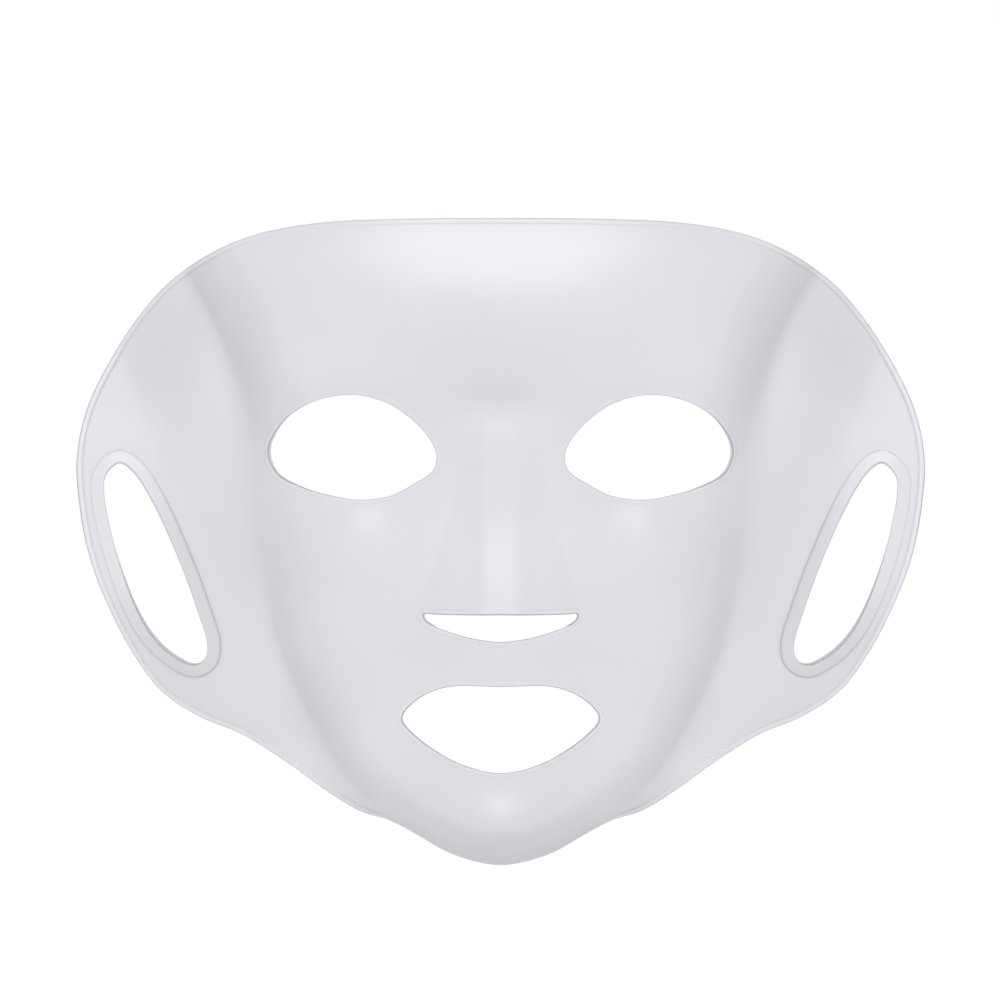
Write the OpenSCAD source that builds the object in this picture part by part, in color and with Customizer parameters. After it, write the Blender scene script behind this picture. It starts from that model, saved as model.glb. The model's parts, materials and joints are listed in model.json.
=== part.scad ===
// Reusable silicone face mask with ear loops.
// Frame: +Z up, the mask faces -Y, +X is the wearer's left.
// Origin: midway between the eye openings, in the plane of the ear slots.
// The mask is one thin moulded sheet, divided here along its thickened edges and its flex lines.

/* [Overall size] */
// Width over the two ear wings
mask_w = 255; // [235:1:275]
// Height from the brow edge to the bottom of the chin
mask_h = 193; // [178:1:208]
// Depth from the plane of the ear slots to the front of the forehead
mask_d = 43; // [36:1:50]

/* [Sheet] */
// Thickness of the sheet
skin_t = 1.2; // [0.8:0.1:1.8]
// Clearance left between two pieces at a flex line
seam = 0.06; // [0.04:0.01:0.12]

/* [Nose] */
// Height of the nose wedge above the face at its lower edge
nose_h = 8.5; // [8:0.5:14]
// Width of the flat top of the nose wedge
nose_ridge = 10.6; // [7:0.2:11]

/* [Edges] */
// Width of the bead round the whole outline
bead_w = 2; // [1.8:0.1:2.8]
// Thickness of the bead round the whole outline
bead_t = 2.1; // [1.9:0.1:3]
// Width of the raised rim round each ear slot
ear_rim_w = 4; // [3:0.2:5]
// Thickness of the raised rim round each ear slot
ear_rim_t = 2.8; // [2.2:0.1:3.4]
// Width of the lip round each eye opening
eye_lip_w = 1.6; // [1.5:0.1:2.2]
// Thickness of the lip round each eye opening
eye_lip_t = 2.1; // [2:0.1:2.6]
// Width of the lip round the mouth and nostril openings
lip_w = 1.4; // [1:0.1:2]
// Thickness of the lip round the mouth and nostril openings
lip_t = 1.9; // [1.8:0.1:2.4]

/* [Flex lines] */
// Half width of the strip that bends between the face and a wing
temple_flex = 5; // [4:0.5:6]
// Half width of the strips that bend between a wing and its ear strap
strap_flex = 3.5; // [2.5:0.5:4.5]
// Width of the strip that bends between a cheek and the chin cup
jaw_flex = 8; // [6:0.5:9]

/* [Resolution] */
// Points along the outline between two of its control points
fine = 2; // [1:1:2]

/* [Hidden] */
silicone = [0.88, 0.88, 0.9];
rim_silicone = [0.84, 0.84, 0.86];

// The tables below are drawn for a mask of this size, and scaled to the chosen one.
nominal_w = 255;
nominal_h = 193;
nominal_d = 43;
scale_x = mask_w / nominal_w;
scale_z = mask_h / nominal_h;
scale_depth = mask_d / nominal_d;
half_seam = seam / 2;
// Choices of side and of height for the paired pieces.
left = 1;
right = -1;
upper = 1;
lower = 0;

// ---------- small maths ----------
function clamp(v) = min(max(v, 0), 1);
function smooth(v) = let (t = clamp(v)) t * t * (3 - 2 * t);
function mix(a, b, t) = a * (1 - t) + b * t;
function unit(v) = v / norm(v);
// Clamp to 0..1 with the foot and the shoulder rounded.
function soft_ramp(t, foot, shoulder) =
  0.5 * (sqrt(t * t + foot * foot) - sqrt((t - 1) * (t - 1) + shoulder * shoulder) + 1);
function soft_max(a, b, round) = 0.5 * (a + b + sqrt((a - b) * (a - b) + round * round));
// Uniform cubic B-spline. A table is [place of the first value, step between values, values].
function spline(table, place) =
  let (
    c = table[2],
    u = min(max((place - table[0]) / table[1], 1), len(c) - 2.0001), // stays off the last span's end
    i = floor(u),
    t = u - i)
  ((1 - t) * (1 - t) * (1 - t) * c[i - 1] + (3 * t * t * t - 6 * t * t + 4) * c[i]
    + (-3 * t * t * t + 3 * t * t + 3 * t + 1) * c[i + 1]
    + t * t * t * c[min(i + 2, len(c) - 1)]) / 6;
slope_probe = 0.05;
function slope(table, place) =
  (spline(table, place + slope_probe) - spline(table, place - slope_probe)) / (2 * slope_probe);
// A rounded bump: [height, centre x, centre z, spread in x, spread in z].
function bump(b, x, z) =
  let (u = (x - b[1]) / b[3], v = (z - b[2]) / b[4]) b[0] * exp(-u * u - v * v);

// ---------- the crease where the face meets the wings ----------
// Half width of the face by height.
crease_side = [-135, 15, [
  -16, 12.7, 41.2, 52.2, 60.1, 66.6, 69.9, 72.6,
  73.9, 74.3, 77.1, 82.6, 89.5, 98.5, 106, 114]];
// Height of the chin's lower line by x.
crease_chin = [-20, 10, [
  -119.2, -123.8, -125.7, -123.2, -118.5, -113.2, -106, -92.4, -75, -52]];
// By height: width of the wall beside the crease, how sharply it shoulders over, and how soft
// the crease is.
wall_width = [-150, 30, [15, 12.5, 13, 17.5, 23.5, 20.5, 21, 21, 21]];
wall_shoulder = [-150, 30, [2.3, 2.9, 3.2, 2.8, 2.5, 2, 2, 2, 2]];
wall_fillet = [-150, 30, [1.2, 1.4, 2, 1.2, 4.3, 4.2, 3, 0.5, 0.5]];
// The chin's line turns into the side line over this run of height.
crease_blend_z = -112;
crease_blend_run = 14;
// Distance inside the crease, negative on a wing.
function inside(x, z) =
  let (
    from_side = (spline(crease_side, z) - x) / sqrt(1 + pow(slope(crease_side, z), 2)),
    from_chin = (z - spline(crease_chin, x)) / sqrt(1 + pow(slope(crease_chin, x), 2)))
  mix(from_chin, from_side, smooth((z - crease_blend_z) / crease_blend_run));

// ---------- depth of the face, the nose and the wings, forward of the wing plane ----------
// By height: depth on the middle line without the nose, and its fall sideways per x * x / 1000.
profile_depth = [-150, 15, [
  24, 31.2, 39.2, 41.5, 41.2, 40, 40.7, 40, 36.5,
  34.4, 36.7, 41.2, 43, 43, 37.6, 31.4, 24, 16]];
profile_fall = [-150, 15, [
  9.2, 9, 8.5, 8, 7.2, 4.4, 3.6, 2.9, 2.4,
  3, 2.8, 1.9, 2.2, 3.1, 2.5, 3.1, 2.4, 2.2]];
// Hollows and bulges of the face, as bumps.
eye_hollow = [-4.5, 43, 2, 24, 15];
brow_bulge = [-0.2, 38, 31, 26, 9];
cheek_bulge = [0.3, 46, -27, 20, 15];
bridge_hollow = [-3, 0, 12, 14, 8];
lip_bulge = [1.2, 0, -63, 16, 8];
chin_bulge = [5, 0, -113, 17, 9];
cheek_spot = [1.5, 44, -24, 9, 8];
function face(x, z) =
  spline(profile_depth, z) - spline(profile_fall, z) * x * x / 1000
  + bump(eye_hollow, x, z) + bump(brow_bulge, x, z) + bump(cheek_bulge, x, z)
  + bump(bridge_hollow, x, z) + bump(lip_bulge, x, z) + bump(chin_bulge, x, z)
  + bump(cheek_spot, x, z);

// By height: half width of the nose wedge at its foot, and its height where nose_h is
// nose_rise_h.
nose_foot = [-71, 15, [24.4, 24.4, 22.8, 16.4, 13.8, 9.6, 8.6, 8.6]];
nose_rise = [-71, 15, [15.2, 12.4, 9.7, 7, 4.2, 1.4, 0.1, 0]];
nose_rise_h = 11;
// The wedge fades in below its top and fades out towards its bottom.
nose_top = 13;
nose_top_run = 8.5;
nose_bottom = -52.6;
nose_bottom_run = 3.6;
function nose(x, z) =
  let (
    ridge = nose_ridge / 2,
    foot = spline(nose_foot, z),
    rise = nose_h / nose_rise_h * spline(nose_rise, z),
    fade = smooth((nose_top - z) / nose_top_run) * smooth((z - nose_bottom) / nose_bottom_run))
  rise * fade * soft_ramp((foot - x) / (foot - ridge), foot = 0.06, shoulder = 0.12);

// A wing has this depth at wing_x and leans back towards the ear; it is level inside wing_inner.
wing_depth = 9;
wing_x = 76;
wing_lean = 0.6;
wing_inner = 50;
wing_inner_round = 12;
// It turns to face forwards beyond a soft fold that slants with height.
wing_turn = 0.66;
wing_fold = 101.5;
wing_slant = 0.4;
wing_fold_round = 2.5;
// The turn fades in above wing_bottom and fades out below wing_top.
wing_bottom = -100;
wing_bottom_run = 80;
wing_top = 60;
wing_top_run = 24;
// Below the eyes the wing also falls back, by twice wing_drop per unit of height.
wing_drop = 0.065;
wing_drop_round = 10;
// The chin's lower rim stands forward of the wings, as a bump.
chin_rim = [4, 0, -128, 38, 16];
function wing(x, z) =
  let (
    out = soft_max(x, wing_inner, wing_inner_round),
    past_fold = soft_max(out - wing_fold - wing_slant * z, 0, wing_fold_round),
    turn = wing_turn * smooth((z - wing_bottom) / wing_bottom_run)
      * smooth((wing_top - z) / wing_top_run))
  wing_depth - wing_lean * (out - wing_x) + turn * past_fold
  - wing_drop * (sqrt(z * z + wing_drop_round * wing_drop_round) - z - wing_drop_round)
  + bump(chin_rim, x, z);

// How far the whole sheet is moved forward, to put the ear slots in the plane of the origin.
forward_shift = 3;
function nominal_depth(x, z, with_nose) =
  let (
    side_x = abs(x),
    within = inside(side_x, z),
    fillet = spline(wall_fillet, z),
    climb = clamp(0.5 * (within + sqrt(within * within + fillet * fillet))
      / spline(wall_width, z)),
    base = wing(side_x, z))
  base + (1 - pow(1 - climb, spline(wall_shoulder, z))) * (face(side_x, z) - base)
  + (with_nose ? nose(side_x, z) : 0) + forward_shift;

// From here on a point is [x, z] in the front view.
function scaled(p) = [p[0] * scale_x, p[1] * scale_z];
function depth(p, with_nose = true) =
  scale_depth * nominal_depth(p[0] / scale_x, p[1] / scale_z, with_nose);
// The point on the sheet's front, and the outward normal there.
function front(p, with_nose = true) = [p[0], -depth(p, with_nose), p[1]];
probe = 0.1;
function normal(p, with_nose = true) =
  let (
    step_x = [probe, 0],
    step_z = [0, probe],
    dx = (depth(p + step_x, with_nose) - depth(p - step_x, with_nose)) / (2 * probe),
    dz = (depth(p + step_z, with_nose) - depth(p - step_z, with_nose)) / (2 * probe))
  unit([-dx, -1, -dz]);

// ---------- outlines in the front view ----------
// All are [x, z] control points of the nominal size and run clockwise.
// The halves are on the wearer's left and run from the top middle to the bottom middle.
outline_half = [
  [0, 69.3], [28, 69.1], [52, 68.2], [71, 65.2], [86.5, 59.4], [99.5, 51], [110, 39.4],
  [118.4, 26.2], [124.8, 12.3], [127.6, -2], [126.8, -16], [123.8, -31.6], [118.3, -46.6],
  [111.1, -60.6], [102.6, -72.1], [91.1, -79.9], [77.5, -85.5], [64.2, -93.7],
  [52.2, -102.2], [42.1, -108.2], [32.8, -110.9], [24.5, -115.2], [14.1, -120.9],
  [0, -123.9]];
mouth_half = [
  [0, -70.5], [13.5, -70.3], [21.3, -72.3], [27, -76], [29.5, -80.2], [26.3, -84.4],
  [20.3, -89], [11.5, -93.6], [0, -96.1]];
nostril_half = [
  [0, -48.9], [11, -49], [20.4, -48.8], [22.6, -48.6], [23.1, -49.6], [21.4, -51.6],
  [15.8, -53.9], [8.4, -56], [0, -57]];
// Whole loops on the wearer's left.
eye_loop = [
  [19.2, -1.5], [21.4, 3.6], [26.6, 9.2], [34.1, 14.1], [44, 16.5], [54.6, 14.9],
  [63.3, 10.2], [68.4, 4], [69.6, -1.4], [66.8, -7.1], [60, -10.7], [51.6, -13.2],
  [42.4, -14.7], [33, -13.5], [26, -10], [20.4, -6.2]];
ear_loop = [
  [115.4, -3.8], [119.1, -8], [119.2, -14.4], [117.9, -21.5], [115.9, -29.5], [113.2, -38],
  [109.9, -46.4], [105.6, -54.3], [99.8, -60.5], [93, -64.2], [88.7, -62.3], [88.2, -57],
  [91, -48.4], [94.4, -38.9], [98.4, -29.1], [102.7, -19.5], [107.6, -10.5], [111.7, -5.3]];

// A half and its mirror image in reverse order, without the first and last skip points.
function mirrored(half, skip = 0) =
  concat(half, [for (i = [len(half) - 1 - skip:-1:skip]) [-half[i][0], half[i][1]]]);
// A closed Catmull-Rom curve through a loop's points, in the chosen size.
function loop_curve(loop, steps) =
  let (m = len(loop))
  [for (i = [0:m - 1], k = [0:steps - 1])
    let (
      t = k / steps,
      a = loop[(i + m - 1) % m], b = loop[i], c = loop[(i + 1) % m], d = loop[(i + 2) % m])
    scaled(0.5 * (2 * b + (c - a) * t + (2 * a - 5 * b + 4 * c - d) * t * t
      + (3 * b - 3 * c + d - a) * t * t * t))];
// A clockwise loop moved outwards by a distance measured along the sheet.
function beside(loop, distance) =
  let (m = len(loop))
  [for (i = [0:m - 1])
    let (
      p = loop[i],
      way = unit(loop[(i + 1) % m] - loop[(i + m - 1) % m]),
      out = [-way[1], way[0]],
      along = unit([way[0], -(depth(p + probe * way) - depth(p)) / probe, way[1]]),
      across = cross(normal(p), along),
      shrink = abs(across[0] * out[0] + across[2] * out[1]))
    p + out * (distance * max(shrink, 0.3))];

// The middle lines of the lips and beads, which are also where the sheet ends.
opening_steps = 2;
eye_curve = loop_curve(eye_loop, opening_steps);
outline_mid = beside(loop_curve(mirrored(outline_half, 1), fine), -bead_w / 2);
eye_mid = beside(eye_curve, eye_lip_w / 2);
mouth_mid = beside(loop_curve(mirrored(mouth_half, 1), opening_steps), lip_w / 2);
nostril_mid = beside(loop_curve(mirrored(nostril_half, 1), opening_steps), lip_w / 2);
ear_mid = beside(loop_curve(ear_loop, opening_steps), ear_rim_w / 2);
// Where the panels are cut back to under the lip round each eye opening.
eye_cut = beside(eye_curve, 0.7 * eye_lip_w);

// ---------- the sheet ----------
// A solid between two matching skins; rim holds the faces that join their edges.
// An inner point's number is its outer point's number plus len(outer).
module skin_solid(outer, inner, skin, rim) {
  n = len(outer);
  back = [for (f = skin) [f[0] + n, f[2] + n, f[1] + n]];
  polyhedron(points = concat(outer, inner), faces = concat(skin, back, rim));
}

// The sheet's mesh runs out from this nominal point along rays that end midway between the
// points of the outline.
centre = [0, -30];
hub_r = 8; // radius of the first ring
crease_limit = 0.965; // furthest the crease may lie along a ray, as a part of its length
// Places of the rings: from the hub to the crease, and from the crease to the edge.
inner_rings = [
  0, 0.13, 0.23, 0.32, 0.4, 0.48, 0.55, 0.61, 0.67,
  0.725, 0.775, 0.82, 0.86, 0.9, 0.935, 0.965, 0.985, 1];
outer_rings = [0.06, 0.15, 0.3, 0.48, 0.66, 0.83, 1];
// How far out the crease lies along a ray, found by halving the interval from low to high.
function crease_r(way, low = 40, high = 150, halvings = 11) =
  let (r = (low + high) / 2)
  halvings == 0 ? r
  : inside(abs(r * way[0]), centre[1] + r * way[1]) > 0 ? crease_r(way, r, high, halvings - 1)
  : crease_r(way, low, r, halvings - 1);

// The whole sheet out to the middle line of its edge bead, without the nose.
module sheet() {
  m = len(outline_mid);
  nominal = [for (p = outline_mid) [p[0] / scale_x, p[1] / scale_z]];
  ends = [for (i = [0:m - 1]) (nominal[i] + nominal[(i + 1) % m]) / 2 - centre];
  far = [for (e = ends) norm(e)];
  ways = [for (e = ends) e / norm(e)];
  fold = [for (i = [0:m - 1]) min(crease_r(ways[i]), crease_limit * far[i])];
  inner_count = len(inner_rings);
  last = inner_count + len(outer_rings) - 1;
  reach = function(ring, i) ring < inner_count
    ? hub_r + (fold[i] - hub_r) * inner_rings[ring]
    : fold[i] + (far[i] - fold[i]) * outer_rings[ring - inner_count];
  flat = concat(
    [scaled(centre)],
    [for (ring = [0:last], i = [0:m - 1]) scaled(centre + ways[i] * reach(ring, i))]);
  outer = [for (p = flat) front(p, false)];
  inner = [for (i = [0:len(flat) - 1]) outer[i] - skin_t * normal(flat[i], false)];
  n = len(flat);
  at = function(ring, i) 1 + ring * m + i % m;
  fan = [for (i = [0:m - 1]) [0, at(0, i), at(0, i + 1)]];
  cells = [for (k = [0:last - 1], i = [0:m - 1]) each [
    [at(k, i), at(k + 1, i), at(k + 1, i + 1)],
    [at(k, i), at(k + 1, i + 1), at(k, i + 1)]]];
  rim = [for (i = [0:m - 1])
    let (a = at(last, i), b = at(last, i + 1))
    each [[a, a + n, b], [b, a + n, b + n]]];
  skin_solid(outer, inner, concat(fan, cells), rim);
}

// ---------- the nose sheet ----------
nose_rows = [-51, -47, -42, -37, -32, -27, -22, -17, -12, -7, -2, 2, 6, 8, 10, 12, 14.5];
nose_margin = 2.5; // how far the nose cover reaches beyond the wedge's foot
nose_overlap = 1; // how far its sheet is built beyond that, before it is cut
nose_corner = 0.8; // distance of the mesh columns on either side of the foot
ridge_corner = 0.6; // distance of the mesh columns on either side of the ridge's edge
// Below these heights the front runs straight down, and the normals stay the same.
nose_front_low = -48.9;
nose_normal_low = -48.7;
function nose_half(z) = spline(nose_foot, z) + nose_margin;
// The x of the mesh columns at a height.
function nose_columns(z) =
  let (
    ridge = nose_ridge / 2,
    foot = spline(nose_foot, z),
    half = [
      nose_half(z) + nose_overlap, foot + nose_corner, foot - nose_corner,
      mix(foot, ridge, 0.3), mix(foot, ridge, 0.55), mix(foot, ridge, 0.75),
      ridge + ridge_corner, ridge - ridge_corner, ridge / 3])
  concat(-half, [for (i = [len(half) - 1:-1:0]) half[i]]);

// The nose wedge as its own closed solid, on rows up the nose and columns across it.
module nose_sheet() {
  grid = [for (z = nose_rows) for (x = nose_columns(z)) [x, z]];
  outer = [for (p = grid)
    let (z = max(p[1], nose_front_low))
    front(scaled([p[0], z])) + [0, 0, (p[1] - z) * scale_z]];
  inner = [for (i = [0:len(grid) - 1])
    outer[i] - skin_t * normal(scaled([grid[i][0], max(grid[i][1], nose_normal_low)]))];
  n = len(grid);
  rows = len(nose_rows);
  columns = len(nose_columns(0));
  cells = [for (k = [0:rows - 2], i = [0:columns - 2])
    let (a = k * columns + i, b = a + 1, c = a + columns, d = c + 1)
    each [[a, c, d], [a, d, b]]];
  edge = concat(
    [for (i = [0:columns - 1]) i],
    [for (k = [1:rows - 1]) k * columns + columns - 1],
    [for (i = [columns - 2:-1:0]) (rows - 1) * columns + i],
    [for (k = [rows - 2:-1:1]) k * columns]);
  rim = [for (i = [0:len(edge) - 1])
    let (a = edge[i], b = edge[(i + 1) % len(edge)])
    each [[a, b, a + n], [b, b + n, a + n]]];
  skin_solid(outer, inner, cells, rim);
}

// The nose cover's outline, made larger at its sides and its top.
nose_zone_rows = [-49.6, -44, -39, -34, -29, -24, -19, -14, -9, -4, 1, 6, 12];
function nose_zone(grow) =
  let (top = max(nose_zone_rows))
  mirrored([for (z = nose_zone_rows)
    scaled([nose_half(z) + grow, z + (z == top ? grow : 0)])]);

// ---------- lips, rims and beads ----------
// A closed bar along a loop, from inner to outer, both measured outwards from the sheet's middle.
module bar(loop, width, inner, outer) {
  m = len(loop);
  a = width / 2;
  mid = (outer + inner) / 2;
  h = (outer - inner) / 2;
  // An octagon: its flats are these parts of the bar's width and thickness.
  wide = 0.55 * a;
  tall = 0.4 * h;
  section = [
    [-a, mid - tall], [-wide, mid - h], [wide, mid - h], [a, mid - tall],
    [a, mid + tall], [wide, mid + h], [-wide, mid + h], [-a, mid + tall]];
  n = len(section);
  points = [for (i = [0:m - 1])
    let (
      along = unit(front(loop[(i + 1) % m]) - front(loop[(i + m - 1) % m])),
      out = normal(loop[i]),
      across = unit(cross(out, along)),
      up = cross(along, across),
      origin = front(loop[i]) - out * skin_t / 2)
    for (v = section) origin + across * v[0] + up * v[1]];
  at = function(i, k) (i % m) * n + k % n;
  faces = [for (i = [0:m - 1], k = [0:n - 1]) each [
    [at(i, k), at(i + 1, k), at(i, k + 1)],
    [at(i, k + 1), at(i + 1, k), at(i + 1, k + 1)]]];
  polyhedron(points = points, faces = faces);
}
// A bar centred on the sheet's thickness, made larger all round by grow.
module centred_bar(loop, width, thick, grow) {
  bar(loop, width + 2 * grow, -thick / 2 - grow, thick / 2 + grow);
}
module eye_bar(grow = 0) { centred_bar(eye_mid, eye_lip_w, eye_lip_t, grow); }
module mouth_bar(grow = 0) { centred_bar(mouth_mid, lip_w, lip_t, grow); }
module nostril_bar(grow = 0) { centred_bar(nostril_mid, lip_w, lip_t, grow); }
module outline_bar(grow = 0) { centred_bar(outline_mid, bead_w, bead_t, grow); }
// The ear rim stands out at the front and only a little behind the sheet's back.
ear_rim_back_step = 0.2;
module ear_bar(grow = 0) {
  back = -skin_t / 2 - ear_rim_back_step;
  bar(ear_mid, ear_rim_w + 2 * grow, back - grow, back + ear_rim_t + grow);
}

// ---------- flex lines and zones in the front view ----------
// Straight lines on the wearer's left side, from the upper end to the lower.
temple_line = [scaled([103, 46]), scaled([66, -92])];
strap_line = [scaled([115.2, -3.9]), scaled([91.5, -64.2])];
jaw_line = [scaled([28.5, -80.1]), scaled([50, -103.5])];
// The point a distance along a line, moved aside towards the wearer's left.
function on_line(line, distance, aside) =
  let (way = unit(line[1] - line[0])) line[0] + way * distance + [-way[1], way[0]] * aside;
function strip(line, from, to, near, far) =
  [on_line(line, from, near), on_line(line, to, near),
    on_line(line, to, far), on_line(line, from, far)];
// Points on the face's side of the temple strip and on the two sides of the jaw strip.
function temple_inner(distance) = on_line(temple_line, distance, -temple_flex - half_seam);
function jaw_upper(distance) = on_line(jaw_line, distance, half_seam);
function jaw_lower(distance) = on_line(jaw_line, distance, -jaw_flex - half_seam);

// Distances along the lines. All but the jaw line's starts, in the mouth, clear the outline.
temple_start = -60;
temple_end = 163;
temple_strip_end = 190;
strap_start = -80;
strap_end = 120;
jaw_end = 44;
zone_w = 90; // width of the zones beside a strip
zone_bottom = -170;
zone_far = 200;
ear_middle_z = -34 * scale_z;

function face_zone() = mirrored([
  temple_inner(temple_start), temple_inner(temple_end), jaw_upper(jaw_end), jaw_upper(-6.4)]);
function chin_zone() =
  let (end = jaw_lower(62)) mirrored([jaw_lower(-5), end, [end[0], zone_bottom]]);
function brow_zone() = mirrored([temple_inner(temple_start), temple_inner(30)]);
function jaw_bead_zone() =
  [temple_inner(60), temple_inner(temple_end), jaw_upper(jaw_end), jaw_upper(10)];
function jaw_zone() = strip(jaw_line, -9, 60, -half_seam, -jaw_flex + half_seam);
function temple_strip(near, far) =
  strip(temple_line, temple_start, temple_strip_end, near, far);
function temple_zone() = temple_strip(temple_flex - half_seam, -temple_flex + half_seam);
function beyond_temple() = temple_strip(zone_w, temple_flex + half_seam);
function strap_strip(near, far) = strip(strap_line, strap_start, strap_end, near, far);
function within_strap() = strap_strip(-zone_w, -strap_flex - half_seam);
function strap_band() = strap_strip(-strap_flex + half_seam, strap_flex - half_seam);
function beyond_strap() = strap_strip(strap_flex + half_seam, zone_w);
// The wearer's left above or below the middle of the ear slots.
function level_zone(level) =
  let (z = ear_middle_z, far_z = level == upper ? zone_far : -zone_far)
  [[0, z], [0, far_z], [zone_far, far_z], [zone_far, z]];

// ---------- cutting ----------
// A prism through the part from a front-view polygon.
module through(zone) {
  rotate([90, 0, 0]) linear_extrude(height = 300, center = true) polygon(zone);
}
// Everything inside this is built as one mesh, because the sheet is free-form.
module meshed() { resize([0, 0, 0]) children(); }
module clipped(zone) { meshed() intersection() { children(); through(zone); } }
// Shapes are drawn on the wearer's left, and mirrored for the right.
module side(s) { if (s == left) children(); else mirror([1, 0, 0]) children(); }
module both_sides() { for (s = [0, 1]) mirror([s, 0, 0]) children(); }
module openings() {
  through(mouth_mid);
  through(nostril_mid);
  both_sides() { through(eye_cut); through(ear_mid); }
}
// The sheet inside a zone, with room left for the nose cover, the lips and the beads.
module panel(zone) {
  meshed() difference() {
    intersection() { sheet(); through(zone); }
    openings();
    mouth_bar(half_seam);
    nostril_bar(half_seam);
    outline_bar(half_seam);
    both_sides() { eye_bar(half_seam); ear_bar(half_seam); }
    through(nose_zone(half_seam));
  }
}
// A part of the sheet on a wing, with room left for the ear rim and the bead.
module outer_panel() {
  meshed() difference() {
    children();
    through(ear_mid);
    ear_bar(half_seam);
    outline_bar(half_seam);
  }
}

// ---------- pieces on the face ----------
module face_shell() { color(silicone) panel(face_zone()); }
module nose_cover() {
  color(silicone) meshed() difference() {
    intersection() { nose_sheet(); through(nose_zone(-half_seam)); }
    through(nostril_mid);
    nostril_bar(half_seam);
  }
}
module brow_edge_bead() { color(rim_silicone) clipped(brow_zone()) outline_bar(); }
module nostril_lip() { color(rim_silicone) nostril_bar(); }
module upper_mouth_lip() { color(rim_silicone) clipped(face_zone()) mouth_bar(); }
module eye_lip(s) { color(rim_silicone) side(s) eye_bar(); }
// The bead between the temple flex line and the jaw flex line.
module jaw_edge_bead(s) { color(rim_silicone) side(s) clipped(jaw_bead_zone()) outline_bar(); }

// ---------- pieces on the chin ----------
module chin_cup() { color(silicone) panel(chin_zone()); }
module chin_edge_bead() { color(rim_silicone) clipped(chin_zone()) outline_bar(); }
module lower_mouth_lip() { color(rim_silicone) clipped(chin_zone()) mouth_bar(); }

// ---------- strips that bend ----------
module jaw_flex_strip(s) {
  color(silicone) side(s) meshed() intersection() {
    union() {
      difference() { sheet(); through(mouth_mid); }
      outline_bar();
      mouth_bar();
    }
    through(jaw_zone());
  }
}
module temple_flex_strip(s) {
  color(silicone) side(s) meshed() intersection() {
    union() { sheet(); outline_bar(); }
    through(temple_zone());
  }
}
// The neck at the upper or lower end of an ear slot.
module strap_flex_strip(s, level) {
  color(silicone) side(s) meshed() intersection() {
    union() {
      difference() { sheet(); through(ear_mid); }
      outline_bar();
      ear_bar();
    }
    through(strap_band());
    through(beyond_temple());
    through(level_zone(level));
  }
}

// ---------- pieces on a wing ----------
module wing_panel(s) {
  color(silicone) side(s) outer_panel()
    intersection() { sheet(); through(beyond_temple()); through(within_strap()); }
}
module wing_edge_bead(s, level) {
  color(rim_silicone) side(s) meshed() intersection() {
    outline_bar();
    through(beyond_temple());
    through(within_strap());
    through(level_zone(level));
  }
}
module ear_rim_front(s) { color(rim_silicone) side(s) clipped(within_strap()) ear_bar(); }

// ---------- pieces on an ear strap ----------
module ear_strap(s) {
  color(silicone) side(s) outer_panel() intersection() { sheet(); through(beyond_strap()); }
}
module ear_rim_back(s) { color(rim_silicone) side(s) clipped(beyond_strap()) ear_bar(); }
module strap_edge_bead(s) { color(rim_silicone) side(s) clipped(beyond_strap()) outline_bar(); }

face_shell();
nose_cover();
chin_cup();
brow_edge_bead();
chin_edge_bead();
nostril_lip();
upper_mouth_lip();
lower_mouth_lip();
eye_lip(left);  // left_eye_lip
eye_lip(right);  // right_eye_lip
jaw_edge_bead(left);  // left_jaw_edge_bead
jaw_edge_bead(right);  // right_jaw_edge_bead
jaw_flex_strip(left);  // left_jaw_flex
jaw_flex_strip(right);  // right_jaw_flex
temple_flex_strip(left);  // left_temple_flex
temple_flex_strip(right);  // right_temple_flex
wing_panel(left);  // left_wing_panel
wing_panel(right);  // right_wing_panel
wing_edge_bead(left, upper);  // left_upper_wing_edge_bead
wing_edge_bead(right, upper);  // right_upper_wing_edge_bead
wing_edge_bead(left, lower);  // left_lower_wing_edge_bead
wing_edge_bead(right, lower);  // right_lower_wing_edge_bead
ear_rim_front(left);  // left_ear_rim_front
ear_rim_front(right);  // right_ear_rim_front
strap_flex_strip(left, upper);  // left_upper_strap_flex
strap_flex_strip(right, upper);  // right_upper_strap_flex
strap_flex_strip(left, lower);  // left_lower_strap_flex
strap_flex_strip(right, lower);  // right_lower_strap_flex
ear_strap(left);  // left_ear_strap
ear_strap(right);  // right_ear_strap
ear_rim_back(left);  // left_ear_rim_back
ear_rim_back(right);  // right_ear_rim_back
strap_edge_bead(left);  // left_strap_edge_bead
strap_edge_bead(right);  // right_strap_edge_bead
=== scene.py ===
"""A full-face mask moulded from one thin sheet of milky silicone, with eye, nostril and mouth
openings and an ear slot on each side.

It stands upright, seen from the front along +y: z is up, x = 0 is the plane of symmetry, the
front faces -y and "left" pieces lie at +x. The sheet is shaped in mm and built in metres.
In the front view a point is (x, z); its depth is how far forward it lies, towards -y.
"""
import json
import math

import bpy
import numpy as np
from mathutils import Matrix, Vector
from mathutils.geometry import delaunay_2d_cdt
from mathutils.kdtree import KDTree


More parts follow.
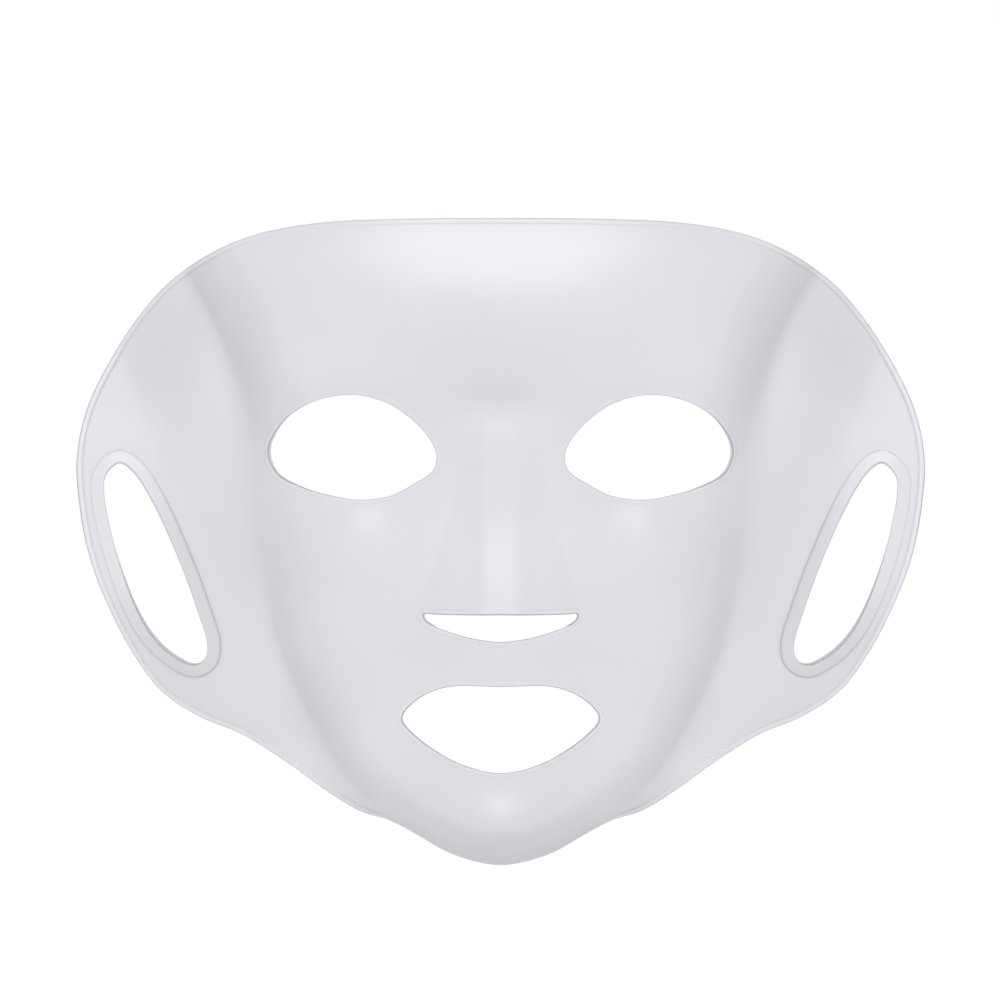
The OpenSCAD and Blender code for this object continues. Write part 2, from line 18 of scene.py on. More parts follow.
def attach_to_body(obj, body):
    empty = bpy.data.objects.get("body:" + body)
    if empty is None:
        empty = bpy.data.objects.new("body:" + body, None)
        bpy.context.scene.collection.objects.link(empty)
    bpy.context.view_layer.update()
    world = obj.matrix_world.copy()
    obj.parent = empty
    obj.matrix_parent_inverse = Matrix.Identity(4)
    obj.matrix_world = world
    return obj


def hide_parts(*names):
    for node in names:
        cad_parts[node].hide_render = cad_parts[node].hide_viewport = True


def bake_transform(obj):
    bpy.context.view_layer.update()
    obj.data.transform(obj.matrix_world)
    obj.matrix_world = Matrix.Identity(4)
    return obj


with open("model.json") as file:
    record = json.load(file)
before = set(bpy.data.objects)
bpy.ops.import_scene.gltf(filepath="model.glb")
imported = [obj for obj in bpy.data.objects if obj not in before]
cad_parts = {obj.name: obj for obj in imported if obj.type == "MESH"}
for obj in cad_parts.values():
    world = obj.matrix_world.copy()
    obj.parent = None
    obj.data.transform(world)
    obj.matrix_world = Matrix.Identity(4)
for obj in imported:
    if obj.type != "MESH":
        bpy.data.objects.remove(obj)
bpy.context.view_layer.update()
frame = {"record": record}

MM = 0.001
MESH_STEP = 1.15  # spacing of the sheet's mesh

# ------------------------------------------------------------------ sizes, mm
SKIN_T = 1.2
NOSE_HEIGHT, NOSE_RIDGE = 8.5, 10.6  # NOSE_RIDGE is the full width of the ridge
BEAD_W, BEAD_T = 1.8, 1.8  # along the outline
EAR_W, EAR_T, EAR_BACK = 4.0, 2.8, 0.8  # EAR_BACK is the part behind the middle of the sheet
EYE_W, EYE_T = 1.4, 1.5
LIP_W, LIP_T = 1.4, 1.5  # mouth and nostril
TEMPLE_FLEX, STRAP_FLEX = 5.0, 3.5  # half widths of the bending bands
JAW_FLEX = 8.0  # full width

# Cubic B-splines: place of the first control value, spacing, control values
CREASE_SIDE = (-135, 15, [
    -16, 12.7, 41.2, 52.2, 60.1, 66.6, 69.9, 72.6, 73.9, 74.3, 77.1, 82.6, 89.5, 98.5, 106, 114,
])  # |x| of the crease between face and wing, along z
CREASE_CHIN = (-20, 10, [
    -119.2, -123.8, -125.7, -123.2, -118.5, -113.2, -106, -92.4, -75, -52,
])  # z of the crease under the chin, along |x|
# The wall rising inside the crease, along z: its width, shoulder exponent and foot fillet
WALL_WIDTH = (-150, 30, [15, 12.5, 13, 17.5, 23.5, 20.5, 21, 21, 21])
WALL_SHOULDER = (-150, 30, [2.3, 2.9, 3.2, 2.8, 2.5, 2, 2, 2, 2])
WALL_FILLET = (-150, 30, [1.2, 1.4, 2, 1.2, 4.3, 4.2, 1.4, 0.5, 0.5])
# The face along z: depth at x = 0, and fall per 1000 x squared
PROFILE_DEPTH = (-150, 15, [
    24, 31.2, 39.2, 41.5, 41.2, 40, 40.7, 40, 36.5, 34.4, 36.7, 41.2, 43, 43, 37.6, 31.4, 24, 16,
])
PROFILE_FALL = (-150, 15, [
    9.2, 9, 8.5, 8, 7.2, 4.4, 3.6, 2.9, 2.4, 3, 2.8, 1.9, 2.2, 3.1, 2.5, 3.1, 2.4, 2.2,
])
# The nose wedge along z: its rise and the half width of its foot
NOSE_RISE = (-71, 15, [15.2, 12.4, 9.7, 7, 4.2, 1.4, 0.1, 0])
NOSE_FOOT = (-71, 15, [24.4, 24.4, 22.8, 16.4, 13.8, 9.6, 8.6, 8.6])
NOSE_RISE_UNIT = 11  # NOSE_RISE is scaled by NOSE_HEIGHT over this
NOSE_FOOT_ROUND, NOSE_SHOULDER_ROUND = 0.06, 0.12  # shares of the flank's width
NOSE_TOP, NOSE_TOP_RUN = 13.0, 8.5  # where the wedge starts, and over what height
NOSE_BOTTOM, NOSE_BOTTOM_RUN = -52.6, 3.6
# Bulges and hollows of the face: height, |x|, z, half width, half height
BULGES = [
    (-4.5, 43, 2, 24, 15), (-0.2, 38, 31, 26, 9), (0.3, 46, -27, 20, 15), (-3, 0, 12, 14, 8),
    (1.2, 0, -63, 16, 8), (5, 0, -113, 17, 9), (1.5, 44, -24, 9, 8),
]
# The wing falls back with |x|, less so beyond a slanting fold
WING_LEVEL, WING_LEVEL_X, WING_FALL = 9, 76, 0.6
WING_INNER, WING_INNER_ROUND = 50, 12  # it is level nearer the middle than this
FOLD_X, FOLD_SLANT, FOLD_ROUND, FOLD_LIFT = 101.5, 0.4, 2.5, 0.66
FOLD_BOTTOM, FOLD_BOTTOM_RUN, FOLD_TOP, FOLD_TOP_RUN = -100, 80, 60.0, 24
LOW_FALL, LOW_ROUND = 0.065, 10  # extra fall below z = 0
CHIN_RIM, CHIN_RIM_Z, CHIN_RIM_HALF_W, CHIN_RIM_HALF_H = 4.0, -128, 38, 16
SHEET_FORWARD = 3


# ------------------------------------------------------------------ the sheet's surface
def spline(curve, at):
    first, step, control = curve
    c = np.asarray(control, float)
    at = np.asarray(at, float)
    u = np.minimum(np.maximum((at - first) / step, 1), len(c) - 2.0001)
    i = np.floor(u).astype(int)
    t = u - i
    return (
        (1 - t) ** 3 * c[i - 1]
        + (3 * t**3 - 6 * t**2 + 4) * c[i]
        + (-3 * t**3 + 3 * t**2 + 3 * t + 1) * c[i + 1]
        + t**3 * c[i + 2]
    ) / 6


def slope(curve, at):
    return (spline(curve, at + 0.05) - spline(curve, at - 0.05)) / 0.1


def gauss(a, b):
    return np.exp(-a * a - b * b)


def smooth(value):
    t = np.clip(value, 0, 1)
    return t * t * (3 - 2 * t)


def rise(value, at, over):
    """0 up to a place, then smoothly to 1 over a length."""
    return smooth((value - at) / over)


def fall(value, at, over):
    return 1 - rise(value, at, over)


def soft_ramp(t, foot, shoulder):
    """Clamp to 0..1 with rounded foot and shoulder."""
    return 0.5 * (np.sqrt(t * t + foot * foot) - np.sqrt((t - 1) ** 2 + shoulder * shoulder) + 1)


def soft_max(a, b, blur):
    return 0.5 * (a + b + np.sqrt((a - b) ** 2 + blur * blur))


def inside_crease(x, z):
    """Distance inside the side crease, or above the chin crease at the bottom."""
    from_side = (spline(CREASE_SIDE, z) - x) / np.sqrt(1 + slope(CREASE_SIDE, z) ** 2)
    from_chin = (z - spline(CREASE_CHIN, x)) / np.sqrt(1 + slope(CREASE_CHIN, x) ** 2)
    sideways = rise(z, at=-112, over=14)
    return from_chin * (1 - sideways) + from_side * sideways


def nose_foot(z):
    return spline(NOSE_FOOT, z)


def nose(x, z):
    foot = nose_foot(z)
    height = NOSE_HEIGHT / NOSE_RISE_UNIT * spline(NOSE_RISE, z)
    on = smooth((NOSE_TOP - z) / NOSE_TOP_RUN) * rise(z, NOSE_BOTTOM, NOSE_BOTTOM_RUN)
    flank = (foot - x) / (foot - NOSE_RIDGE / 2)
    return height * on * soft_ramp(flank, NOSE_FOOT_ROUND, NOSE_SHOULDER_ROUND)


def face(x, z):
    forward = spline(PROFILE_DEPTH, z) - spline(PROFILE_FALL, z) * x * x / 1000
    for height, bulge_x, bulge_z, half_w, half_h in BULGES:
        forward = forward + height * gauss((x - bulge_x) / half_w, (z - bulge_z) / half_h)
    return forward


def wing(x, z):
    across = soft_max(x, WING_INNER, WING_INNER_ROUND)
    beyond_fold = soft_max(across - FOLD_X - FOLD_SLANT * z, 0, FOLD_ROUND)
    fold_on = rise(z, FOLD_BOTTOM, FOLD_BOTTOM_RUN) * smooth((FOLD_TOP - z) / FOLD_TOP_RUN)
    forward = WING_LEVEL - WING_FALL * (across - WING_LEVEL_X) + FOLD_LIFT * fold_on * beyond_fold
    low = np.sqrt(z * z + LOW_ROUND**2) - z - LOW_ROUND
    rim_bump = gauss(x / CHIN_RIM_HALF_W, (z - CHIN_RIM_Z) / CHIN_RIM_HALF_H)
    return forward - LOW_FALL * low + CHIN_RIM * rim_bump


def depth(x, z):
    x = np.abs(x)
    inside = inside_crease(x, z)
    fillet = spline(WALL_FILLET, z)
    inside = 0.5 * (inside + np.sqrt(inside * inside + fillet * fillet))
    up_wall = np.clip(inside / spline(WALL_WIDTH, z), 0, 1)
    base = wing(x, z)
    wall_share = 1 - (1 - up_wall) ** spline(WALL_SHOULDER, z)
    return base + wall_share * (face(x, z) - base) + nose(x, z) + SHEET_FORWARD


def normal(p):
    """Unit normals of the front side at front-view points."""
    h = 0.1
    x, z = p[:, 0], p[:, 1]
    along_x = (depth(x + h, z) - depth(x - h, z)) / (2 * h)
    along_z = (depth(x, z + h) - depth(x, z - h)) / (2 * h)
    n = np.stack([-along_x, -np.ones(len(x)), -along_z], 1)
    return n / np.linalg.norm(n, axis=1)[:, None]


def middle(p):
    """Points in space halfway through the sheet."""
    front = np.stack([p[:, 0], -depth(p[:, 0], p[:, 1]), p[:, 1]], 1)
    return front - normal(p) * SKIN_T / 2


# ------------------------------------------------------------------ outlines in the front view
def both_halves(half):
    """Closes a half outline that starts and ends on x = 0."""
    return half + [[-x, z] for x, z in half[-2:0:-1]]


# Clockwise points (x, z)
OUTLINE = both_halves([
    [0, 69.3], [28, 69.1], [52, 68.2], [71, 65.2], [86.5, 59.4], [99.5, 51], [110, 39.4],
    [118.4, 26.2], [124.8, 12.3], [127.6, -2], [126.8, -16], [123.8, -31.6], [118.3, -46.6],
    [111.1, -60.6], [102.6, -72.1], [91.1, -79.9], [77.5, -85.5], [64.2, -93.7], [52.2, -102.2],
    [42.1, -108.2], [32.8, -110.9], [24.5, -115.2], [14.1, -120.9], [0, -123.9],
])
EYE = [
    [19.2, -1.5], [21.4, 3.6], [26.6, 9.2], [34.1, 14.1], [44, 16.5], [54.6, 14.9], [63.3, 10.2],
    [68.4, 4], [69.6, -1.4], [66.8, -7.1], [60, -10.7], [51.6, -13.2], [42.4, -14.7],
    [33, -13.5], [26, -10], [20.4, -6.2],
]
MOUTH = both_halves([
    [0, -70.5], [13.5, -70.3], [21.3, -72.3], [27, -76], [29.5, -80.2], [26.3, -84.4],
    [20.3, -89], [11.5, -93.6], [0, -96.1],
])
NOSTRIL = both_halves([
    [0, -48.9], [11, -49], [20.4, -48.8], [22.6, -48.6], [23.1, -49.6], [21.4, -51.6],
    [15.8, -53.9], [8.4, -56], [0, -57],
])
EAR = [
    [115.4, -3.8], [119.1, -8], [119.2, -14.4], [117.9, -21.5], [115.9, -29.5], [113.2, -38],
    [109.9, -46.4], [105.6, -54.3], [99.8, -60.5], [93, -64.2], [88.7, -62.3], [88.2, -57],
    [91, -48.4], [94.4, -38.9], [98.4, -29.1], [102.7, -19.5], [107.6, -10.5], [111.7, -5.3],
]
# Lines the left half bends about, from top to bottom
TEMPLE = np.array([[103.0, 46.0], [66.0, -92.0]])
STRAP = np.array([[115.2, -3.9], [91.5, -64.2]])
JAW = np.array([[28.5, -80.1], [50.0, -103.5]])


def loop_curve(outline, spacing):
    """A closed Catmull-Rom curve, evenly spaced."""
    p = np.array(outline, float)
    per_span = 40
    a, b, c, d = (np.roll(p, shift, 0)[:, None, :] for shift in (1, 0, -1, -2))
    t = (np.arange(per_span) / per_span)[None, :, None]
    cubic = (3 * b - 3 * c + d - a) * t**3
    fine = 0.5 * (2 * b + (c - a) * t + (2 * a - 5 * b + 4 * c - d) * t * t + cubic)
    fine = fine.reshape(len(p) * per_span, 2)
    lengths = np.linalg.norm(np.roll(fine, -1, 0) - fine, axis=1)
    run = np.concatenate([[0], np.cumsum(lengths)])
    count = max(12, int(round(run[-1] / spacing)))
    at = np.arange(count) * run[-1] / count
    closed = np.concatenate([fine, fine[:1]])
    return np.stack([np.interp(at, run, closed[:, 0]), np.interp(at, run, closed[:, 1])], 1)


def beside(loop, width):
    """A closed clockwise loop moved outwards by a width measured along the sheet."""
    along = np.roll(loop, -1, 0) - np.roll(loop, 1, 0)
    along /= np.linalg.norm(along, axis=1)[:, None]
    out = np.stack([-along[:, 1], along[:, 0]], 1)
    h = 0.15
    moved = loop.copy()
    # small steps, so that the distance follows the slope of the sheet
    steps = max(1, int(math.ceil(abs(width) / 0.5)))
    for _ in range(steps):
        ahead = depth(moved[:, 0] + h * out[:, 0], moved[:, 1] + h * out[:, 1])
        behind = depth(moved[:, 0] - h * out[:, 0], moved[:, 1] - h * out[:, 1])
        steepness = (ahead - behind) / (2 * h)
        shorten = np.maximum(1 / np.sqrt(1 + steepness * steepness), 0.22)
        moved = moved + out * (width / steps * shorten)[:, None]
    return moved


loops = {
    "outline": loop_curve(OUTLINE, 1.0),
    "mouth": loop_curve(MOUTH, 0.8),
    "nostril": loop_curve(NOSTRIL, 0.55),
}
for opening, outline in (("eye", EYE), ("ear", EAR)):
    left = loop_curve(outline, 0.8)
    loops["left_" + opening] = left
    loops["right_" + opening] = left[::-1] * [-1, 1]

# Distances from each edge at which the mesh has a row of points
NOSTRIL_ROWS = [0, 0.05, 0.14, 0.3, 0.7, 1.16, 1.28, 1.4, 1.54, 1.9]
LIP_ROWS = NOSTRIL_ROWS + [2.4]
EDGE_ROWS = {
    "outline": [0, 0.05, 0.14, 0.3, 0.9, 1.56, 1.68, 1.8, 1.94, 2.3, 2.9],
    "eye": LIP_ROWS,
    "mouth": LIP_ROWS,
    "nostril": NOSTRIL_ROWS,
    "ear": [0, 0.05, 0.16, 0.35, 1.0, 1.9, 2.8, 3.4, 3.78, 3.9, 4.0, 4.12, 4.4, 4.9],
}


def kind(name):
    return name.split("_")[-1]


# ------------------------------------------------------------------ fixed rows of the mesh
paths, edges = [], []


def add_path(path, closed):
    start = sum(len(p) for p in paths)
    count = len(path)
    paths.append(path)
    spans = count if closed else count - 1
    edges.extend((start + i, start + (i + 1) % count) for i in range(spans))


def add_line(a, b):
    count = max(2, int(np.linalg.norm(b - a) / 0.9))
    add_path(a + (b - a) * np.linspace(0, 1, count + 1)[:, None], closed=False)


def unit(line):
    return (line[1] - line[0]) / np.linalg.norm(line[1] - line[0])


def on_line(line, along, aside):
    """A point by its run along a line and its offset, positive towards greater x."""
    d = unit(line)
    return line[0] + d * along + np.array([-d[1], d[0]]) * aside


for name, loop in loops.items():
    sign = -1 if name == "outline" else 1
    for distance_in in EDGE_ROWS[kind(name)]:
        add_path(beside(loop, sign * distance_in) if distance_in else loop, closed=True)

# Borders of the bending bands: line, offsets, runs along the line
BAND_BORDERS = (
    (TEMPLE, (-TEMPLE_FLEX, TEMPLE_FLEX), ((-20, 160),)),
    (STRAP, (-STRAP_FLEX, STRAP_FLEX), ((-30, 6), (58, 96))),
    (JAW, (0, -JAW_FLEX), ((-6, 44),)),
)
BOTH_SIDES = np.array([[1, 1], [-1, 1]])  # factors for the left half and its mirror image
for half in BOTH_SIDES:
    for line, offsets, runs in BAND_BORDERS:
        for aside in offsets:
            for start, end in runs:
                add_line(on_line(line, start, aside) * half, on_line(line, end, aside) * half)

# Border of the nose cover
NOSE_ROWS = [-49.6, -44, -39, -34, -29, -24, -19, -14, -9, -4, 1, 6, 12]
NOSE_MARGIN = 2.5
nose_side = np.array([[nose_foot(z) + NOSE_MARGIN, z] for z in NOSE_ROWS])
for lower, upper in zip(nose_side, nose_side[1:]):
    for half in BOTH_SIDES:
        add_line(lower * half, upper * half)
add_line(nose_side[-1], nose_side[-1] * [-1, 1])

# Rows along the edges of the nose wedge's ridge and foot
for z0 in np.arange(-48, 4, 2.0):
    z1 = z0 + 2.0
    for aside in (-0.9, 0, 0.9):
        ridge = NOSE_RIDGE / 2 + aside
        for half in BOTH_SIDES:
            for x0, x1 in ((ridge, ridge), (nose_foot(z0) + aside, nose_foot(z1) + aside)):
                add_line(np.array([x0, z0]) * half, np.array([x1, z1]) * half)
fixed = np.concatenate(paths)


# ------------------------------------------------------------------ triangles
def within(p, loop):
    """Which points lie inside a closed loop."""
    inside = np.zeros(len(p), bool)
    x, z = p[:, 0], p[:, 1]
    for (x0, z0), (x1, z1) in zip(loop, np.roll(loop, -1, 0)):
        if z0 != z1:
            inside ^= ((z > z0) != (z > z1)) & (x < (x1 - x0) * (z - z0) / (z1 - z0) + x0)
    return inside


def in_sheet(p):
    keep = within(p, loops["outline"])
    for name, loop in loops.items():
        if name != "outline":
            keep &= ~within(p, loop)
    return keep


def grid(step):
    """An even triangular grid, symmetric about x = 0."""
    xs = np.arange(-130, 130, step)
    zs = np.arange(-126, 72, step * 0.866)
    rows = [
        np.stack([xs + (step / 2 if k % 2 else 0), np.full(len(xs), z)], 1)
        for k, z in enumerate(zs)
    ]
    rows = np.concatenate(rows)
    half = rows[rows[:, 0] > 1e-6]
    return np.concatenate([half, half * [-1, 1], np.stack([np.zeros(len(zs)), zs], 1)])


def search_tree(places):
    tree = KDTree(len(places))
    for i, place in enumerate(places):
        tree.insert(place, i)
    tree.balance()
    return tree


near_fixed = search_tree(np.column_stack([fixed, np.zeros(len(fixed))]))
fill = []
# the grid is finer where the sheet is steep
for step, steep in ((MESH_STEP, False), (MESH_STEP * 0.5, True)):
    g = grid(step)
    g = g[in_sheet(g)]
    flatness = -normal(g)[:, 1]
    g = g[(flatness < 0.5) == steep]
    clear = np.array([near_fixed.find((x, z, 0))[2] > step * 0.55 for x, z in g])
    fill.append(g[clear])
seeds = [Vector((float(x), float(z))) for x, z in np.concatenate([fixed] + fill)]
cdt = delaunay_2d_cdt(seeds, edges, [], 0, 1e-5)
flat = np.array([(v.x, v.y) for v in cdt[0]], float)
tris = np.array([list(f) for f in cdt[2]], int)
tris = tris[in_sheet(flat[tris].mean(1))]
used = np.unique(tris)
index = np.full(len(flat), -1)
index[used] = np.arange(len(used))
flat, tris = flat[used], index[tris]
side_1 = flat[tris[:, 1]] - flat[tris[:, 0]]
side_2 = flat[tris[:, 2]] - flat[tris[:, 0]]
area = side_1[:, 0] * side_2[:, 1] - side_2[:, 0] * side_1[:, 1]
tris[area < 0] = tris[area < 0][:, ::-1]
tris = tris[np.abs(area) > 1e-7]

# ------------------------------------------------------------------ thickness
NO_CAP = 9.0  # more than any half thickness
STEP_LEAD = 0.22  # the step down starts this far inside the raised width


def edge_round(d, top, radius):
    """Limit on the half thickness that rounds an edge at distance d."""
    t = np.minimum(d, radius)
    arc = np.sqrt(np.maximum(radius * radius - (radius - t) ** 2, 0))
    return np.where(d < radius, top - radius + arc, NO_CAP)


def lip_section(d, half, width, radius=0.35):
    """Rounding cap and half thickness: level, then a low step down to the sheet."""
    raised = half - (half - SKIN_T / 2) * smooth((d - width + STEP_LEAD) / 0.36)
    return edge_round(d, half, radius), raised


def ear_front_section(d):
    """The front of an ear rim: highest by the slot and falling away to a low step."""
    top = EAR_T - EAR_BACK
    crest = top - 0.27 * np.maximum(d - 0.3, 0)
    on_rim = 1 - smooth((d - EAR_W + STEP_LEAD) / 0.34)
    return edge_round(d, top, 0.35), SKIN_T / 2 + (crest - SKIN_T / 2) * on_rim


# width and thickness of each raised edge
EDGE_SIZES = {
    "outline": (BEAD_W, BEAD_T), "eye": (EYE_W, EYE_T),
    "mouth": (LIP_W, LIP_T), "nostril": (LIP_W, LIP_T),
}

mid, facing_out = middle(flat), normal(flat)
distance = {}
for name, loop in loops.items():
    gaps = np.roll(loop, -1, 0) - loop
    tree = search_tree(middle(np.concatenate([loop + gaps * t for t in (0, 0.25, 0.5, 0.75)])))
    distance[name] = np.array([tree.find(place)[2] for place in mid])

half_front, half_back = (np.full(len(flat), SKIN_T / 2) for _ in range(2))
cap_front, cap_back = (np.full(len(flat), NO_CAP) for _ in range(2))
for name, d in distance.items():
    if kind(name) == "ear":
        front, back = ear_front_section(d), lip_section(d, EAR_BACK, EAR_W, radius=0.3)
    else:
        width, thickness = EDGE_SIZES[kind(name)]
        front = back = lip_section(d, thickness / 2, width)
    cap_front, cap_back = np.minimum(cap_front, front[0]), np.minimum(cap_back, back[0])
    half_front, half_back = np.maximum(half_front, front[1]), np.maximum(half_back, back[1])
half_front = np.minimum(half_front, cap_front)
half_back = np.minimum(half_back, cap_back)

# open edges of the triangles: those that belong to one triangle only
owner = {}
for f, (a, b, c) in enumerate(tris.tolist()):
    for edge in ((a, b), (b, c), (c, a)):
        key = (min(edge), max(edge))
        owner[key] = None if key in owner else (edge, f)
open_edges = [v for v in owner.values() if v is not None]
rim_edges = np.array([edge for edge, _ in open_edges])
rim_face = np.array([f for _, f in open_edges])
rim = np.unique(rim_edges)

# front and back skins, joined by a wall with a row of points halfway
n = len(flat)
mid_of = np.full(n, -1)
mid_of[rim] = 2 * n + np.arange(len(rim))
rim_shift = (half_front - half_back)[rim] / 2
P = np.concatenate([
    mid + facing_out * half_front[:, None],
    mid - facing_out * half_back[:, None],
    mid[rim] + facing_out[rim] * rim_shift[:, None],
])
a, b = rim_edges[:, 0], rim_edges[:, 1]
mid_a, mid_b = mid_of[a], mid_of[b]
wall_corners = ((b, a, mid_a), (b, mid_a, mid_b), (mid_b, mid_a, a + n), (mid_b, a + n, b + n))
walls = [np.stack(corners, 1) for corners in wall_corners]
faces = np.concatenate([tris, (tris + n)[:, ::-1]] + walls)

# ------------------------------------------------------------------ which piece each triangle belongs to
centre = flat[tris].mean(1)
face_distance = {name: d[tris].mean(1) for name, d in distance.items()}
x, z = np.abs(centre[:, 0]), centre[:, 1]


def beyond(line):
    """Signed distance of the triangles from a line, positive towards greater |x|."""
    d = unit(line)
    return (x - line[0, 0]) * -d[1] + (z - line[0, 1]) * d[0]


def closer(name, width):
    """Triangles within a width of an opening, on either side of the mask."""
    both = [d for key, d in face_distance.items() if kind(key) == name]
    return np.min(both, axis=0) < width


label = np.full(len(tris), "face_shell", dtype="U40")
side = np.where(centre[:, 0] > 0, "left_", "right_")


def put_one(mask, name):
    label[mask] = name


def put_pair(mask, name):
    label[mask] = np.char.add(side[mask], name)


temple, strap, jaw = beyond(TEMPLE), beyond(STRAP), beyond(JAW)
inner = temple < -TEMPLE_FLEX
low = z < -79
jaw_band = low & (jaw < 0) & (jaw > -JAW_FLEX) & inner
chin = low & (jaw <= -JAW_FLEX) & (x < 60)
in_face = ~jaw_band & ~chin & inner
beside_nose = x < np.interp(z, NOSE_ROWS, nose_side[:, 0])
flap = temple >= TEMPLE_FLEX
strap_band = flap & (np.abs(strap) < STRAP_FLEX)
strap_zone = flap & (strap >= STRAP_FLEX)
wing_zone = flap & (strap <= -STRAP_FLEX)
upper = z > -34
bead, ear, mouth = closer("outline", BEAD_W), closer("ear", EAR_W), closer("mouth", LIP_W)

# later pieces are cut out of earlier ones
put_one(beside_nose & (z > NOSE_ROWS[0]) & (z < NOSE_ROWS[-1]), "nose_cover")
put_one(chin, "chin_cup")
put_pair(wing_zone, "wing_panel")
put_pair(strap_zone, "ear_strap")
put_one(bead & in_face & (z > 0), "brow_edge_bead")
put_pair(bead & in_face & (z <= 0), "jaw_edge_bead")
put_one(bead & chin, "chin_edge_bead")
put_pair(bead & wing_zone & upper, "upper_wing_edge_bead")
put_pair(bead & wing_zone & ~upper, "lower_wing_edge_bead")
put_pair(bead & strap_zone, "strap_edge_bead")
put_pair(ear & wing_zone, "ear_rim_front")
put_pair(ear & strap_zone, "ear_rim_back")
put_one(closer("nostril", LIP_W), "nostril_lip")
put_one(mouth & ~chin, "upper_mouth_lip")
put_one(mouth & chin, "lower_mouth_lip")
put_pair(closer("eye", EYE_W), "eye_lip")
put_pair(jaw_band, "jaw_flex")
put_pair(np.abs(temple) < TEMPLE_FLEX, "temple_flex")
put_pair(strap_band & upper, "upper_strap_flex")
put_pair(strap_band & ~upper, "lower_strap_flex")
label = np.concatenate([label, label] + [label[rim_face]] * 4)


# ------------------------------------------------------------------ normals
def sheet_normals():
    """Angle-weighted normals of the whole sheet, so that no seam shows between pieces."""
    corners = [P[faces[:, i]] for i in range(3)]
    cross = np.cross(corners[1] - corners[0], corners[2] - corners[0])
    cross = cross / np.maximum(np.linalg.norm(cross, axis=1)[:, None], 1e-12)
    total = np.zeros_like(P)
    for i in range(3):
        u = corners[(i + 1) % 3] - corners[i]
        w = corners[(i + 2) % 3] - corners[i]
        lengths = np.linalg.norm(u, axis=1) * np.linalg.norm(w, axis=1)
        cosine = np.einsum("ij,ij->i", u, w) / np.maximum(lengths, 1e-12)
        angle = np.arccos(np.clip(cosine, -1, 1))[:, None]
        np.add.at(total, faces[:, i], cross * angle)
    return total / np.maximum(np.linalg.norm(total, axis=1)[:, None], 1e-12)


vertex_normals = sheet_normals()

# ------------------------------------------------------------------ painted light and shade of the silicone at each vertex
# Patches of painted light and shade: |x|, z, half width, half height, how much lighter
PAINTED_LIGHT_AND_SHADE_PATCHES = (
    (0, 28, 42, 13, -0.05), (102, 32, 16, 24, -0.055), (0, -120, 26, 7, -0.075),
    (36, -113, 12, 6, -0.05), (64, -60, 7, 20, 0.045), (70, -44, 5, 13, 0.03),
    (36, -86, 10, 13, 0.03), (56, -38, 7, 14, -0.03), (0, -105, 12, 6, 0.02),
    (24, -116, 10, 6, -0.03), (84, 22, 6, 18, 0.035), (13, -30, 8, 16, 0.04),
    (72, 44, 13, 12, -0.022), (58, -95, 9, 10, 0.04), (30, 62, 16, 8, 0.03),
    (42, -22, 9, 9, 0.02), (20, -60, 14, 5, -0.02),
)
# painted light: the rim walls and the back skin along the edges are drawn lighter
PAINTED_WALL_LIGHT, PAINTED_BACK_EDGE_LIGHT = 1.1, 1.08


def line_at(d, at, width):
    return np.exp(-(((d - at) / width) ** 2))


def painted_front_light_and_shade():
    x, z = np.abs(flat[:, 0]), flat[:, 1]
    ear_d = np.minimum(distance["left_ear"], distance["right_ear"])
    rim_d = distance["outline"]
    # painted shade: a thin dark line at every edge, with a faint painted highlight beside it
    tone = 1 - np.where(ear_d < 0.5, 0.28, 0.42) * fall(nearest, at=0, over=0.34)
    tone += 0.06 * rise(nearest, at=0.25, over=0.25) * fall(nearest, at=0.6, over=0.5)
    # painted highlight: on the sides the outline's bead is lighter, with a painted shadow line along its
    # foot
    on_sides = rise(x, at=62, over=22)
    tone += 0.09 * on_sides * rise(rim_d, at=0.35, over=0.3) * fall(rim_d, at=1.1, over=0.5)
    tone -= 0.08 * line_at(rim_d, at=BEAD_W, width=0.2) * on_sides
    # painted shade: the outline's very edge is darker
    tone -= 0.10 * fall(rim_d, at=0, over=0.35)
    # painted light and shade on the ear rims: darker on the side of the face, lighter outwards; across
    # grows outwards and upwards
    across = (x - 104) / 10 + (z + 35) / 45
    on_ear = fall(ear_d, at=EAR_W - 0.1, over=0.2)
    ear_rim_painted_light = 0.962 + 0.058 * rise(across, at=-0.9, over=1.9)
    tone *= 1 + on_ear * (ear_rim_painted_light - 1)
    # painted shadow line along the foot of each ear rim on the side of the face, and painted light on
    # the rim's outer side
    tone *= 1 - 0.20 * line_at(ear_d, at=EAR_W, width=0.22) * fall(across, at=-0.4, over=1.4)
    tone *= 1 + 0.022 * rise(across, at=0.3, over=0.8) * fall(z, at=5, over=12)
    # painted light and shade patches over the face
    for patch_x, patch_z, half_w, half_h, more in PAINTED_LIGHT_AND_SHADE_PATCHES:
        tone *= 1 + more * gauss((x - patch_x) / half_w, (z - patch_z) / half_h)
    return tone


nearest = np.min(list(distance.values()), axis=0)
# painted light and shade of the front skin
tone = painted_front_light_and_shade()
painted_back_tone = np.where(nearest < 0.1, PAINTED_BACK_EDGE_LIGHT, tone)
# painted light and shade of the front, the back and the rim walls, for the material
painted_light_and_shade = np.concatenate([tone, painted_back_tone, np.full(len(rim), PAINTED_WALL_LIGHT)])


# ------------------------------------------------------------------ materials
def node(tree, kind_name, inputs=None, **settings):
    """A shader node; an input is given a value, or a socket to link from."""
    made = tree.nodes.new(kind_name)
    for key, value in settings.items():
        setattr(made, key, value)
    for key, value in (inputs or {}).items():
        if isinstance(value, bpy.types.NodeSocket):
            tree.links.new(value, made.inputs[key])
        else:
            made.inputs[key].default_value = value
    return made


